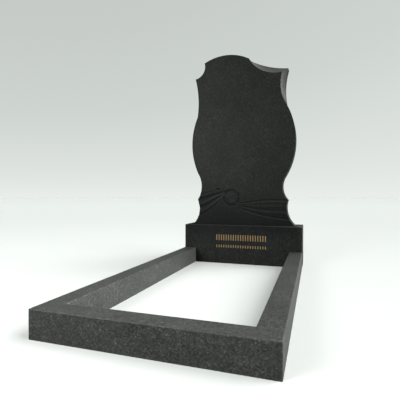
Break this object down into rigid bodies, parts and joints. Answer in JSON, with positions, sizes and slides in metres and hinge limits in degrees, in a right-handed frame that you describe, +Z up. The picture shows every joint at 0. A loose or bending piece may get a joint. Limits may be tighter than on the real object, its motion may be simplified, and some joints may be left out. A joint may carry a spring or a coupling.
{
  "type": "headstone with plinth and kerb",
  "caption": "Polished dark granite grave monument: a shaped stele with carved ring and cloth, standing on a plinth, with a kerb framing a planting bed.",
  "frame": {"origin": "centre of the monument's footprint on the ground, the middle of its box at the bottom", "axes": "+Z up; +Y from the front of the kerb towards the plinth and stele; +X to the right seen from the front"},
  "size_m": [0.6, 1.233, 1.0855],
  "materials": {
    "kerb_granite": "polished dark granite with fine light flecks",
    "plinth_granite": "polished dark granite",
    "stele_granite": "polished near-black granite",
    "stroke_paint": "thin matt gold-tone paint in cut strokes"
  },
  "bodies": {
    "root": {"kerb_front": "kerb_granite", "kerb_left": "kerb_granite", "kerb_right": "kerb_granite", "plinth": "plinth_granite", "stele": "stele_granite"}
  },
  "joints": []
}
